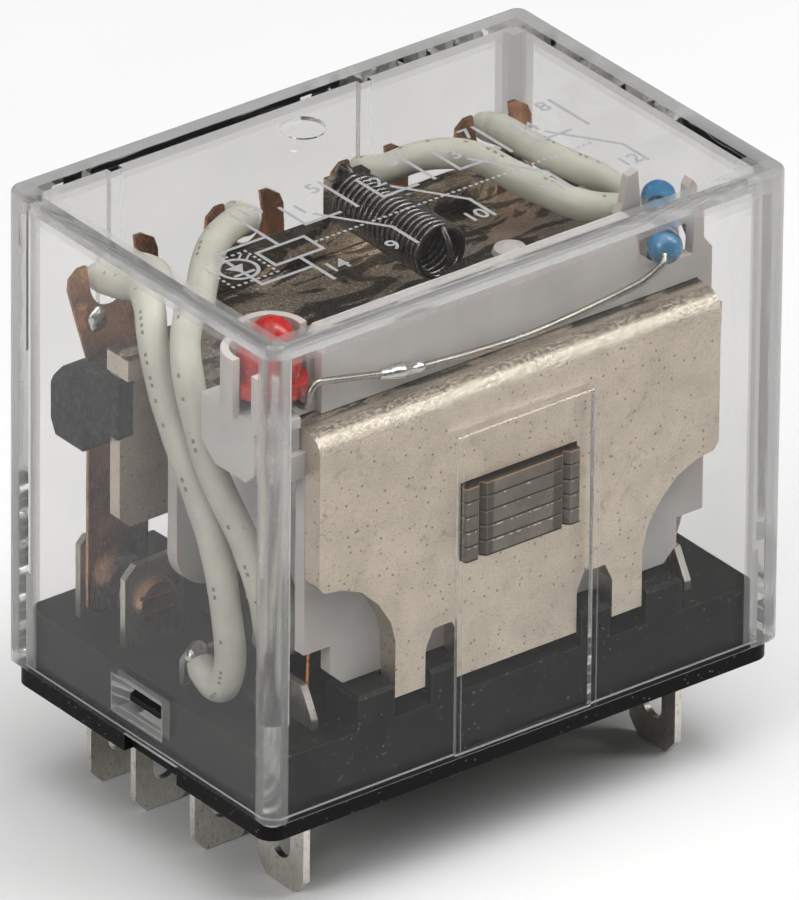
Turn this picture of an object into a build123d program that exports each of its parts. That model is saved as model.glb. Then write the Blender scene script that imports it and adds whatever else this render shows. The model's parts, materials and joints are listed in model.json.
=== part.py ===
"""Four pole plug in relay with a clear cover and an indicator lamp.

Millimetres. The origin is the centre of the flange's underside, which seats on the socket.
X runs along the long front face, Y runs to the back and Z runs up.
"""
import os
from math import radians, tan

from build123d import *

os.makedirs("parts", exist_ok=True)

# ---- cover and base ----
COVER_L = 41.2
COVER_W = 27.7
COVER_TOP = 35.6
WALL = 1.45
FLANGE_T = 1.3
FLANGE_L = 40.6
FLANGE_W = 26.7
BLOCK_L = 38.2
BLOCK_W = 24.7
SHOULDER_Z = 5.65
RAIL_Z = 8.0
RAIL_L = 26.0
WINDOW_Z = 4.05

# ---- blades ----
POLE_X = (-15.0, -5.0, 5.0, 15.0)
BLADE_W = 4.7
BLADE_T = 0.5
BLADE_TIP = -6.9
NC_Y = 9.3
NO_Y = 4.6
COM_Y = -1.6
COIL_Y = -8.1
COIL_X = 15.0
NC_TOP = 11.4
NO_TOP = 11.25
COM_TOP = 7.7
COIL_TOP = 8.3
SLOT_GAP = 0.03

# ---- contacts ----
CONTACT_Z = 8.4
CONTACT_R = 1.62
SHANK_R = 0.8
NC_CONTACT_FRONT = 8.76
NO_CONTACT_REAR = 6.2
MOVING_REAR = 8.7
MOVING_FRONT = 7.4

# ---- moving springs ----
SPRING_FRONT = 8.15
SPRING_T = 0.25
SPRING_BOTTOM = 6.0
SPRING_TOP = 30.5
SPRING_W = 4.8
FLAG_W = 6.2
FLAG_LEAN = 1.45
NOTCH_R = 1.45
NOTCH_Z = 29.05

# ---- magnet ----
YOKE_T = 1.5
YOKE_FRONT = -12.1
YOKE_TOP = 27.5
YOKE_HALF = 16.0
LEG_END = 4.65
EAR_HALF = 18.6
CORE_HALF = 4.6
CORE_LOW = 14.9
SHEET_T = 1.04
SHEET_PITCH = 1.07
SHEETS = 5
CORE_FRONT = -12.6
POLE_FACE = 3.85
ARM_FRONT = 4.75
ARM_T = 1.0
ARM_HALF = 17.5
ARM_LOW = 14.0
ARM_SHOULDER = 25.9
ARM_NECK = 11.7
ARM_TOP = 29.7
TAB_TOP = 32.5

# ---- bobbin and coil ----
FLANGE_A = (-10.55, -9.6)
FLANGE_B = (2.2, 3.15)
TUBE_WALL = 0.75
TAPE_HALF = 12.8
TAPE_LOW = 10.3
TAPE_HIGH = 24.8
TAPE_T = 0.3
COIL_R = 5.0

# ---- indicator ----
LED_X = -16.2
LED_Y = -8.0
LED_LOW = 29.4
LED_TOP = 33.2
RES_FRONT = (13.0, -10.0, 30.9)
RES_REAR = (15.7, -6.7, 30.9)
RES_R = 1.15

# ---- flexible parts ----
LEAD_R = 1.0
TURN_R = 1.54
COIL_WIRE_R = 0.19
TURNS = 18
HELIX_Z = 31.05
HELIX_FRONT = -4.55
HELIX_LEN = 8.9


def corner_radii(points):
    """Largest arcs that the runs beside each corner leave room for."""
    radii = []
    for before, here, after in zip(points, points[1:], points[2:]):
        first = Vector(*here) - Vector(*before)
        second = Vector(*after) - Vector(*here)
        turn = radians(first.get_angle(second))
        run = min(first.length, second.length)
        radii.append(0.45 * run / tan(turn / 2))
    return radii


def wire_run(label, points, radius):
    """Round wire along straight runs joined by tangent arcs."""
    radii = corner_radii(points)
    with BuildPart() as run:
        with BuildLine() as route:
            FilletPolyline(*points, radius=radii)
        with BuildSketch(Plane(origin=route.wire() @ 0, z_dir=route.wire() % 0)):
            Circle(radius)
        sweep(path=route.wire())
    section = 3.14159265 * radius**2
    length = route.wire().length
    print(label, "length", round(length, 2), "least arc", round(min(radii), 2),
          "volume ratio", round(run.part.volume / (section * length), 4))
    run.part.label = label
    return run


def save(name, label):
    """Label a finished piece and write its STEP file."""
    name.part.label = label
    export_step(name.part, f"parts/{label}.step")


# ======================= base =======================
with BuildPart() as base:
    with BuildSketch():
        RectangleRounded(FLANGE_L, FLANGE_W, 1.2)
    extrude(amount=FLANGE_T)
    # small lever notches at both ends of the flange
    with BuildSketch():
        with Locations((-FLANGE_L / 2, -1.05), (FLANGE_L / 2, -1.05)):
            Rectangle(1.5, 5.5)
    extrude(amount=FLANGE_T, mode=Mode.SUBTRACT)
    with BuildSketch(Plane.XY.offset(FLANGE_T)):
        RectangleRounded(BLOCK_L, BLOCK_W, 1.0)
    extrude(amount=SHOULDER_Z - FLANGE_T)
    # front rail that the yoke's feet stand in
    with BuildSketch(Plane.XY.offset(SHOULDER_Z)):
        with Locations((0, -BLOCK_W / 2 + 1.675)):
            Rectangle(RAIL_L, 3.35)
    extrude(amount=RAIL_Z - SHOULDER_Z)
    chamfer(base.edges().group_by(Axis.Z)[-1], length=0.25)
    # pockets for the two feet and the centre tab
    with BuildSketch(Plane.XY.offset(SHOULDER_Z)):
        with Locations((-8.65, -11.4), (8.65, -11.4)):
            Rectangle(2.95, 2.05)
        with Locations((0, -11.4)):
            Rectangle(10.0, 2.05)
    extrude(amount=RAIL_Z, mode=Mode.SUBTRACT)
    # low ribs between the contact sets
    with BuildSketch(Plane.XY.offset(SHOULDER_Z)):
        with Locations((-10, 7.3), (0, 7.3), (10, 7.3)):
            Rectangle(1.2, 9.0)
    extrude(amount=2.6)
    # latch teeth that snap into the cover's end windows
    for side in (-1, 1):
        with BuildSketch(Plane.XZ.offset(-1.55)):
            with BuildLine():
                Polyline((side * (BLOCK_L / 2 - 0.5), WINDOW_Z - 0.4), (side * 19.95, WINDOW_Z - 0.4),
                         (side * 19.95, WINDOW_Z), (side * BLOCK_L / 2, WINDOW_Z + 0.55),
                         (side * (BLOCK_L / 2 - 0.5), WINDOW_Z + 0.55), close=True)
            make_face()
        extrude(amount=3.1)
    # slots for the blades that lie along X
    with BuildSketch():
        with Locations(*[(x, y) for x in POLE_X for y in (NC_Y, NO_Y, COM_Y)]):
            Rectangle(BLADE_W + 2 * SLOT_GAP, BLADE_T + 2 * SLOT_GAP)
        with Locations((-COIL_X, COIL_Y), (COIL_X, COIL_Y)):
            Rectangle(BLADE_T + 2 * SLOT_GAP, BLADE_W + 2 * SLOT_GAP)
    extrude(amount=RAIL_Z + 1, mode=Mode.SUBTRACT)
save(base, "base")

# ======================= cover =======================
IN_L = COVER_L - 2 * WALL
IN_W = COVER_W - 2 * WALL
with BuildPart() as cover:
    with BuildSketch(Plane.XY.offset(FLANGE_T)):
        RectangleRounded(COVER_L, COVER_W, 0.9)
    extrude(amount=COVER_TOP - FLANGE_T)
    fillet(cover.edges().group_by(Axis.Z)[-1], radius=0.45)
    chamfer(cover.edges().group_by(Axis.Z)[0], length=0.2)
    # hollow, with a thicker band at each inner corner above the block
    with BuildSketch(Plane.XY.offset(FLANGE_T)):
        Rectangle(IN_L, IN_W)
    extrude(amount=RAIL_Z - FLANGE_T, mode=Mode.SUBTRACT)
    with BuildSketch(Plane.XY.offset(RAIL_Z)):
        with BuildLine():
            Polyline((IN_L / 2 - 0.5, IN_W / 2), (-IN_L / 2 + 0.5, IN_W / 2),
                     (-IN_L / 2, IN_W / 2 - 0.5), (-IN_L / 2, -IN_W / 2 + 0.5),
                     (-IN_L / 2 + 0.5, -IN_W / 2), (IN_L / 2 - 0.5, -IN_W / 2),
                     (IN_L / 2, -IN_W / 2 + 0.5), (IN_L / 2, IN_W / 2 - 0.5), close=True)
        make_face()
    extrude(amount=COVER_TOP - WALL - RAIL_Z, mode=Mode.SUBTRACT)
    # panel recess in the front wall, clear of the staked core end
    with BuildSketch(Plane.XZ.offset(IN_W / 2 - 0.1)):
        with Locations((0.05, FLANGE_T + 11.45)):
            Rectangle(10.9, 22.9)
    extrude(amount=0.5, mode=Mode.SUBTRACT)
    # latch windows, wide outside and narrow inside
    for side in (-1, 1):
        with BuildSketch(Plane.YZ.offset(side * COVER_L / 2)):
            with Locations((0, WINDOW_Z)):
                Rectangle(5.2, 2.5)
        with BuildSketch(Plane.YZ.offset(side * (IN_L / 2 - 0.1))):
            with Locations((0, WINDOW_Z + 0.2)):
                Rectangle(3.4, 1.7)
        loft(mode=Mode.SUBTRACT)
    # guide ribs down the back wall
    with BuildSketch(Plane.XY.offset(COVER_TOP - WALL - 12)):
        with Locations((-13.2, IN_W / 2 - 0.2), (6.7, IN_W / 2 - 0.2)):
            Rectangle(0.9, 0.5)
    extrude(amount=12)
    # gate dimple on the top
    with BuildSketch(Plane.XY.offset(COVER_TOP)):
        with Locations((-0.9, 8.7)):
            Circle(1.5)
    extrude(amount=-0.3, mode=Mode.SUBTRACT)
save(cover, "cover")

# ======================= blades =======================
def blade_x(label, x, y, top, corner, rivet_z):
    """Flat blade lying along X, with a tapered tip and an oval hole."""
    with BuildPart() as blade:
        with BuildSketch(Plane.XZ.offset(-y - BLADE_T / 2)):
            with BuildLine():
                Polyline((x - BLADE_W / 2, BLADE_TIP + 1.0), (x - BLADE_W / 2 + 0.9, BLADE_TIP),
                         (x + BLADE_W / 2 - 0.9, BLADE_TIP), (x + BLADE_W / 2, BLADE_TIP + 1.0),
                         (x + BLADE_W / 2, top - corner), (x + BLADE_W / 2 - corner, top),
                         (x - BLADE_W / 2 + corner, top), (x - BLADE_W / 2, top - corner), close=True)
            make_face()
            with Locations((x, BLADE_TIP + 3.3)):
                SlotOverall(2.8, 1.9, rotation=90, mode=Mode.SUBTRACT)
            if rivet_z:
                with Locations((x, rivet_z)):
                    Circle(SHANK_R + 0.01, mode=Mode.SUBTRACT)
        extrude(amount=BLADE_T)
    save(blade, label)
    return blade


def blade_y(label, x, y, top):
    """Flat coil blade lying along Y."""
    with BuildPart() as blade:
        with BuildSketch(Plane.YZ.offset(x - BLADE_T / 2)):
            with BuildLine():
                Polyline((y - BLADE_W / 2, BLADE_TIP + 1.0), (y - BLADE_W / 2 + 0.9, BLADE_TIP),
                         (y + BLADE_W / 2 - 0.9, BLADE_TIP), (y + BLADE_W / 2, BLADE_TIP + 1.0),
                         (y + BLADE_W / 2, SHOULDER_Z + 0.6), (y + 1.2, top), (y - 1.2, top),
                         (y - BLADE_W / 2, SHOULDER_Z + 0.6), close=True)
            make_face()
            with Locations((y, BLADE_TIP + 3.3)):
                SlotOverall(2.8, 1.9, rotation=90, mode=Mode.SUBTRACT)
        extrude(amount=BLADE_T)
    save(blade, label)
    return blade


com_blades = []
for number, x in enumerate(POLE_X, start=1):
    blade_x(f"nc_terminal_{number}", x, NC_Y, NC_TOP, 0.5, CONTACT_Z)
    blade_x(f"no_terminal_{number + 4}", x, NO_Y, NO_TOP, 0.85, CONTACT_Z)
    com_blades.append(blade_x(f"com_terminal_{number + 8}", x, COM_Y, COM_TOP, 0.4, None))
coil_blade_13 = blade_y("coil_terminal_13", -COIL_X, COIL_Y, COIL_TOP)
coil_blade_14 = blade_y("coil_terminal_14", COIL_X, COIL_Y, COIL_TOP)


# ======================= contact rivets =======================
def rivets(label, profile, grooves):
    """Four turned rivets on the contact line, one in each pole."""
    with BuildPart() as group:
        for x in POLE_X:
            with BuildSketch(Plane.YZ.offset(x)):
                with BuildLine():
                    Polyline(*[(y, CONTACT_Z + r) for y, r in profile], close=True)
                make_face()
            revolve(axis=Axis((x, 0, CONTACT_Z), (0, 1, 0)))
        if grooves:
            with BuildSketch(Plane.XZ.offset(-profile[0][0] - 0.14)):
                with Locations(*[(x, CONTACT_Z + dz) for x in POLE_X for dz in (-0.55, 0.55)]):
                    Rectangle(4.0, 0.3)
            extrude(amount=0.3, mode=Mode.SUBTRACT)
    save(group, label)
    return group


NC_FACE = NC_Y - BLADE_T / 2
NC_BACK = NC_Y + BLADE_T / 2
NO_FACE = NO_Y - BLADE_T / 2
NO_BACK = NO_Y + BLADE_T / 2
rivets("nc_contacts", [(NC_CONTACT_FRONT, 0), (NC_CONTACT_FRONT, 1.3), (NC_CONTACT_FRONT + 0.1, CONTACT_R),
                       (NC_FACE, CONTACT_R), (NC_FACE, SHANK_R), (NC_BACK, SHANK_R), (NC_BACK, 1.15),
                       (NC_BACK + 0.3, 0.95), (NC_BACK + 0.3, 0)], False)
rivets("no_contacts", [(NO_FACE - 0.45, 0), (NO_FACE - 0.45, 1.35), (NO_FACE - 0.2, 1.6), (NO_FACE, 1.6),
                       (NO_FACE, SHANK_R), (NO_BACK, SHANK_R), (NO_BACK, CONTACT_R),
                       (NO_CONTACT_REAR - 0.25, CONTACT_R), (NO_CONTACT_REAR - 0.08, 1.2),
                       (NO_CONTACT_REAR, 0.5), (NO_CONTACT_REAR, 0)], True)
SPRING_BACK = SPRING_FRONT + SPRING_T
rivets("moving_contacts", [(MOVING_FRONT, 0), (MOVING_FRONT, 0.5), (MOVING_FRONT + 0.08, 1.2),
                           (MOVING_FRONT + 0.25, CONTACT_R), (SPRING_FRONT, CONTACT_R),
                           (SPRING_FRONT, SHANK_R), (SPRING_BACK, SHANK_R), (SPRING_BACK, CONTACT_R),
                           (MOVING_REAR - 0.1, CONTACT_R), (MOVING_REAR, 1.3), (MOVING_REAR, 0)], False)

# ======================= yoke =======================
with BuildPart() as yoke:
    # bent strip in side view
    with BuildSketch(Plane.YZ.offset(-EAR_HALF)):
        with BuildLine():
            Polyline((YOKE_FRONT, 6.6), (YOKE_FRONT, YOKE_TOP), (LEG_END, YOKE_TOP),
                     (LEG_END, YOKE_TOP - YOKE_T), (YOKE_FRONT + YOKE_T, YOKE_TOP - YOKE_T),
                     (YOKE_FRONT + YOKE_T, 6.6), close=True)
        make_face()
    extrude(amount=2 * EAR_HALF)
    bend = yoke.edges().filter_by(Axis.X)
    fillet(bend.sort_by(Axis.Y)[:2].sort_by(Axis.Z)[-1:], radius=1.45)
    # plan outline: straight leg that widens into ears at the back
    with BuildSketch(Plane.XY.offset(6.0)):
        with Locations((0, (YOKE_FRONT + LEG_END) / 2)):
            Rectangle(2 * YOKE_HALF, LEG_END - YOKE_FRONT)
        with Locations((0, LEG_END - 1.1)):
            Rectangle(2 * EAR_HALF, 2.2)
    extrude(amount=23, mode=Mode.INTERSECT)
    # front outline: wings, two feet and a centre tab
    with BuildSketch(Plane.XZ.offset(-6)):
        with BuildLine():
            Polyline((-EAR_HALF, 29), (-EAR_HALF, 24.1), (-YOKE_HALF, 24.1), (-YOKE_HALF, 16.8),
                     (-15.6, 16.3), (-14.2, 16.1), (-12.6, 15.4), (-11.3, 14.1), (-10.3, 12.5),
                     (-9.9, 11.0), (-9.9, 6.9), (-7.5, 6.9), (-7.5, 9.6), (-6.9, 10.9), (-5.4, 10.9),
                     (-4.8, 9.6), (-4.8, 6.6), (4.8, 6.6), (4.8, 9.6), (5.4, 10.9), (6.9, 10.9),
                     (7.5, 9.6), (7.5, 6.9), (9.9, 6.9), (9.9, 11.0), (10.3, 12.5), (11.3, 14.1),
                     (12.6, 15.4), (14.2, 16.1), (15.6, 16.3), (YOKE_HALF, 16.8), (YOKE_HALF, 24.1),
                     (EAR_HALF, 24.1), (EAR_HALF, 29), close=True)
        make_face()
    extrude(amount=20, mode=Mode.INTERSECT)
    # slot that the core is staked into
    with BuildSketch(Plane.XZ.offset(9)):
        with Locations((0, CORE_LOW + 2.78)):
            Rectangle(2 * CORE_HALF + 0.1, 5.65)
    extrude(amount=5, mode=Mode.SUBTRACT)
    # lanced lug that the return spring hooks to, and the window it leaves
    with BuildSketch(Plane.XY.offset(25)):
        with Locations((0, -3.95)):
            Rectangle(2.8, 3.4)
    extrude(amount=4, mode=Mode.SUBTRACT)
    with BuildSketch(Plane.XZ.offset(5.7)):
        with BuildLine():
            Polyline((-1.3, YOKE_TOP - 0.5), (1.3, YOKE_TOP - 0.5), (1.3, 30.1), (0.8, 30.7),
                     (-0.8, 30.7), (-1.3, 30.1), close=True)
        make_face()
    extrude(amount=1.0)
    with BuildSketch(Plane.XZ.offset(5)):
        with Locations((0, 29.3)):
            Circle(0.45)
    extrude(amount=3, mode=Mode.SUBTRACT)
    # hole for the bobbin's peg
    with BuildSketch(Plane.XY.offset(25)):
        with Locations((7.5, -2.0)):
            Circle(0.95)
    extrude(amount=4, mode=Mode.SUBTRACT)
save(yoke, "yoke")

# ======================= core sheets and shading ring =======================
RING_CUT = (0.6, 1.4)
for index in range(SHEETS):
    low = CORE_LOW + index * SHEET_PITCH
    with BuildPart() as sheet:
        with BuildSketch(Plane.XY.offset(low)):
            with BuildLine():
                Polyline((-CORE_HALF, CORE_FRONT + 0.12), (-CORE_HALF + 0.12, CORE_FRONT),
                         (-3.6, CORE_FRONT), (-3.25, CORE_FRONT + 0.42), (-2.9, CORE_FRONT),
                         (3.1, CORE_FRONT), (3.45, CORE_FRONT + 0.42), (3.8, CORE_FRONT),
                         (CORE_HALF - 0.12, CORE_FRONT), (CORE_HALF, CORE_FRONT + 0.12),
                         (CORE_HALF, POLE_FACE), (RING_CUT[1], POLE_FACE), (RING_CUT[1], POLE_FACE - 0.66),
                         (RING_CUT[0], POLE_FACE - 0.66), (RING_CUT[0], POLE_FACE),
                         (-CORE_HALF, POLE_FACE), close=True)
            make_face()
        extrude(amount=SHEET_T)
    save(sheet, f"core_sheet_{index + 1}")
CORE_HIGH = CORE_LOW + (SHEETS - 1) * SHEET_PITCH + SHEET_T

with BuildPart() as shading_ring:
    with BuildSketch(Plane.XZ.offset(-POLE_FACE + 0.05)):
        with Locations(((-CORE_HALF + RING_CUT[1] - 0.8) / 2, (CORE_LOW + CORE_HIGH) / 2)):
            Rectangle(CORE_HALF + RING_CUT[1] + 0.7, CORE_HIGH - CORE_LOW + 1.5)
        with Locations(((-CORE_HALF + RING_CUT[0]) / 2 + 0.01, (CORE_LOW + CORE_HIGH) / 2)):
            Rectangle(CORE_HALF + RING_CUT[0] + 0.06, CORE_HIGH - CORE_LOW + 0.04, mode=Mode.SUBTRACT)
    extrude(amount=0.58)
save(shading_ring, "shading_ring")

# ======================= bobbin with indicator bracket =======================
with BuildPart() as bobbin:
    # front flange with its stepped lower edge and short side arms
    with BuildSketch(Plane.XZ.offset(-FLANGE_A[1])):
        with BuildLine():
            Polyline((-16, 25.85), (-16, 11.3), (-13.9, 11.3), (-13.9, 9.3), (-12.9, 8.3), (12.9, 8.3),
                     (13.9, 9.3), (13.9, 11.3), (16, 11.3), (16, 25.85), close=True)
        make_face()
    extrude(amount=FLANGE_A[1] - FLANGE_A[0])
    # rear flange with rounded lower corners
    with BuildSketch(Plane.XZ.offset(-FLANGE_B[1])):
        with Locations((0, 17.6)):
            RectangleRounded(29.8, 16.0, 2.9)
    extrude(amount=FLANGE_B[1] - FLANGE_B[0])
    # tube between the flanges, open for the core
    with BuildSketch(Plane.XZ.offset(-FLANGE_B[0])):
        with Locations((0, (CORE_LOW + CORE_HIGH) / 2)):
            Rectangle(2 * (CORE_HALF + 0.05 + TUBE_WALL), CORE_HIGH - CORE_LOW + 2 * (0.05 + TUBE_WALL))
    extrude(amount=FLANGE_B[0] - FLANGE_A[1])
    with BuildSketch(Plane.XZ.offset(-FLANGE_B[1] - 1)):
        with Locations((0, (CORE_LOW + CORE_HIGH) / 2)):
            Rectangle(2 * CORE_HALF + 0.1, CORE_HIGH - CORE_LOW + 0.1)
    extrude(amount=18, mode=Mode.SUBTRACT)
    # left bracket beside the yoke
    with BuildSketch(Plane.YZ.offset(-18.2)):
        with BuildLine():
            Polyline((-10.0, 24.6), (-10.0, 28.3), (-4.6, 28.3), (-4.6, 25.0), (-6.0, 23.8),
                     (-9.2, 23.8), close=True)
        make_face()
    extrude(amount=18.2 - YOKE_HALF - 0.05)
    with BuildSketch(Plane.XZ.offset(-FLANGE_A[1])):
        with Locations((-16.6, 25.0)):
            Rectangle(2.4, 1.7)
        with Locations((16.5, 25.0)):
            Rectangle(1.6, 1.7)
    extrude(amount=FLANGE_A[1] - FLANGE_A[0])
    # lamp socket, a half ring that is open to the front
    with BuildSketch(Plane.XY.offset(28.2)):
        with Locations((LED_X, LED_Y)):
            Circle(2.5)
            Circle(1.97, mode=Mode.SUBTRACT)
        with Locations((LED_X, LED_Y - 1.9)):
            Rectangle(6, 3.0, mode=Mode.SUBTRACT)
    extrude(amount=4.1)
    # webs that carry the half ring over the bracket and the yoke's top leg
    with BuildSketch(Plane.XY.offset(27.6)):
        with Locations((-15.6, -6.9)):
            Rectangle(4.9, 4.2)
    extrude(amount=0.7)
    # slim post in front of the lamp
    with BuildSketch(Plane.XY.offset(28.2)):
        with Locations((-17.75, -10.0)):
            Rectangle(0.9, 0.6)
    extrude(amount=3.4)
    with BuildSketch(Plane.XY.offset(27.6)):
        with Locations((-17.2, -9.5)):
            Rectangle(2.0, 1.6)
    extrude(amount=0.7)
    # wall across the yoke's top leg
    with BuildSketch(Plane.XZ.offset(8.8)):
        with BuildLine():
            Polyline((-14.0, YOKE_TOP + 0.06), (17.2, YOKE_TOP + 0.06), (17.2, 29.4), (16.5, 30.3),
                     (16.5, 32.8), (16.1, 33.3), (15.8, 32.8), (15.6, 29.4), (11.6, 29.4), (11.0, 32.3),
                     (-13.6, 32.3), (-14.0, 31.8), close=True)
        make_face()
    extrude(amount=0.8)
    # right column beside the yoke
    with BuildSketch(Plane.XY.offset(24.2)):
        with Locations((16.65, -9.2)):
            Rectangle(1.1, 0.8)
    extrude(amount=4.5)
    # fin behind the resistor, tied to the wall by a rib
    with BuildSketch(Plane.XZ.offset(6.0)):
        with BuildLine():
            Polyline((12.2, YOKE_TOP + 0.06), (14.3, YOKE_TOP + 0.06), (14.3, 31.0), (14.1, 33.3),
                     (13.3, 33.1), (12.9, 31.2), (12.5, 30.6), close=True)
        make_face()
    extrude(amount=0.6)
    with BuildSketch(Plane.XY.offset(YOKE_TOP + 0.06)):
        with Locations((12.9, -7.6)):
            Rectangle(1.2, 2.6)
    extrude(amount=1.3)
    # peg through the top leg, with its melted head
    with BuildSketch(Plane.YZ.offset(7.5)):
        with BuildLine():
            Polyline((-2.0, 24.9), (-1.1, 24.9), (-1.1, YOKE_TOP + 0.05), (-0.8, YOKE_TOP + 0.05),
                     (-0.95, YOKE_TOP + 0.4), (-1.6, YOKE_TOP + 0.6), (-2.0, YOKE_TOP + 0.6), close=True)
        make_face()
    revolve(axis=Axis((7.5, -2.0, 0), (0, 0, 1)))
    # bridge from the rear flange under the top leg that carries the peg
    with BuildSketch(Plane.XY.offset(24.95)):
        with Locations((7.5, 0.3)):
            Rectangle(3.0, 5.0)
    extrude(amount=0.6)
save(bobbin, "bobbin")

# ======================= coil =======================
def racetrack(half, low, high, radius):
    """Rounded block outline of the winding, seen along the core."""
    with Locations((0, (low + high) / 2)):
        RectangleRounded(2 * half, high - low, radius)


WIND_FRONT = -FLANGE_A[1] - 0.05
WIND_LEN = FLANGE_B[0] - FLANGE_A[1] - 0.1
TUBE_HALF = CORE_HALF + TUBE_WALL + 0.08
with BuildPart() as coil_winding:
    with BuildSketch(Plane.XZ.offset(-FLANGE_B[0] + 0.05)):
        racetrack(TAPE_HALF - TAPE_T - 0.02, TAPE_LOW + TAPE_T + 0.02, TAPE_HIGH - TAPE_T - 0.02, COIL_R - TAPE_T)
        with Locations((0, (CORE_LOW + CORE_HIGH) / 2)):
            Rectangle(2 * TUBE_HALF, CORE_HIGH - CORE_LOW + 2 * (TUBE_WALL + 0.08), mode=Mode.SUBTRACT)
    extrude(amount=WIND_LEN)
save(coil_winding, "coil_winding")

with BuildPart() as coil_tape:
    with BuildSketch(Plane.XZ.offset(-FLANGE_B[0] + 0.05)):
        racetrack(TAPE_HALF, TAPE_LOW, TAPE_HIGH, COIL_R)
        with Locations((0, (TAPE_LOW + TAPE_HIGH) / 2)):
            RectangleRounded(2 * (TAPE_HALF - TAPE_T), TAPE_HIGH - TAPE_LOW - 2 * TAPE_T, COIL_R - TAPE_T,
                             mode=Mode.SUBTRACT)
    extrude(amount=WIND_LEN)
save(coil_tape, "coil_tape")

end_left = wire_run("coil_end_left", [(-13.4, -9.2, 20.0), (-14.3, -9.3, 17.0), (-14.55, -9.25, 12.5),
                                      (-14.6, -9.1, 8.1), (-14.6, -8.9, 6.6)], 0.11)
end_right = wire_run("coil_end_right", [(13.4, -9.2, 20.0), (14.3, -9.3, 17.0), (14.55, -9.25, 12.5),
                                        (14.6, -9.1, 8.1), (14.6, -8.9, 6.6)], 0.11)
with BuildPart() as coil_ends:
    add(end_left.part)
    add(end_right.part)
save(coil_ends, "coil_ends")

# ======================= lamp =======================
with BuildPart() as led:
    with BuildSketch(Plane.XZ.offset(-LED_Y)):
        with BuildLine():
            Polyline((LED_X, LED_TOP - 1.5), (LED_X, LED_LOW), (LED_X + 1.9, LED_LOW),
                     (LED_X + 1.9, LED_LOW + 0.9), (LED_X + 1.5, LED_LOW + 0.9), (LED_X + 1.5, LED_TOP - 1.5),
                     close=True)
        make_face()
        with BuildLine():
            Line((LED_X, LED_TOP - 1.5), (LED_X, LED_TOP))
            CenterArc((LED_X, LED_TOP - 1.5), 1.5, 0, 90)
            Line((LED_X, LED_TOP - 1.5), (LED_X + 1.5, LED_TOP - 1.5))
        make_face()
    revolve(axis=Axis((LED_X, LED_Y, 0), (0, 0, 1)))
save(led, "led")

leg_long = wire_run("led_leg_long", [(-15.6, -8.7, LED_LOW - 0.02), (-15.6, -8.75, 28.8), (-15.6, -9.5, 28.6),
                                     (-15.6, -10.3, 28.9), (-15.55, -10.35, 29.9), (-15.0, -10.3, 30.45),
                                     (-13.4, -10.3, 30.1), (-9.5, -10.2, 29.2)], 0.24)
with BuildPart() as leg_short:
    with BuildSketch(Plane.XY.offset(28.33)):
        with Locations((-16.8, -7.4)):
            Rectangle(0.45, 0.45)
    extrude(amount=LED_LOW - 0.02 - 28.33)
with BuildPart() as led_legs:
    add(leg_long.part)
    add(leg_short.part)
save(led_legs, "led_legs")

# ======================= resistor =======================
res_axis = Vector(*RES_REAR) - Vector(*RES_FRONT)
res_dir = res_axis.normalized()
span = res_axis.length
res_plane = Plane(origin=RES_FRONT, x_dir=(res_dir.X, res_dir.Y, 0), z_dir=(res_dir.Y, -res_dir.X, 0))
with BuildPart() as resistor:
    with BuildSketch(res_plane):
        with BuildLine():
            bulb_a = CenterArc((0, 0), RES_R, 180, -113)
            bulb_b = CenterArc((span, 0), RES_R, 113, -113)
            Polyline(bulb_a @ 1, (1.0, 0.88), (span - 1.0, 0.88), bulb_b @ 0)
            Line(bulb_b @ 1, bulb_a @ 0)
        make_face()
    revolve(axis=Axis(RES_FRONT, (res_dir.X, res_dir.Y, 0)))
save(resistor, "resistor")

front_tip = Vector(*RES_FRONT) - res_dir * 1.17
rear_tip = Vector(*RES_REAR) + res_dir * 1.17
lead_front = wire_run("resistor_lead_front", [(front_tip.X, front_tip.Y, 30.9), (11.9, -11.3, 30.6),
                                              (10.6, -11.1, 29.7), (7.4, -10.4, 28.75),
                                              (2.4, -10.1, 28.1), (-2.6, -10.1, 28.35),
                                              (-6.8, -10.2, 28.75)], 0.25)
lead_rear = wire_run("resistor_lead_rear", [(rear_tip.X, rear_tip.Y, 30.9), (16.9, -5.4, 30.8),
                                            (17.5, -6.1, 30.0), (17.6, -7.3, 28.2), (17.5, -7.5, 24.5),
                                            (17.4, -7.5, 18.5), (17.2, -7.5, 12.5), (16.4, -7.6, 9.2),
                                            (15.55, -7.7, 7.2)], 0.25)
with BuildPart() as resistor_leads:
    add(lead_front.part)
    add(lead_rear.part)
save(resistor_leads, "resistor_leads")

joint_plane = Plane(origin=(-8.2, -10.2, 28.98), x_dir=(0.991, 0, -0.131), z_dir=(0, 1, 0))
with BuildPart() as lead_joint:
    with BuildSketch(joint_plane):
        with BuildLine():
            Spline((-1.8, 0.0), (-1.1, 0.4), (0.0, 0.52), (1.2, 0.38), (1.8, 0.0), tangents=[(0, 1), (0, -1)])
            Line((1.8, 0.0), (-1.8, 0.0))
        make_face()
    revolve(axis=Axis((-8.2, -10.2, 28.98), (0.991, 0, -0.131)))
    add(leg_long.part, mode=Mode.SUBTRACT)
    add(lead_front.part, mode=Mode.SUBTRACT)
save(lead_joint, "lead_joint")

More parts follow.
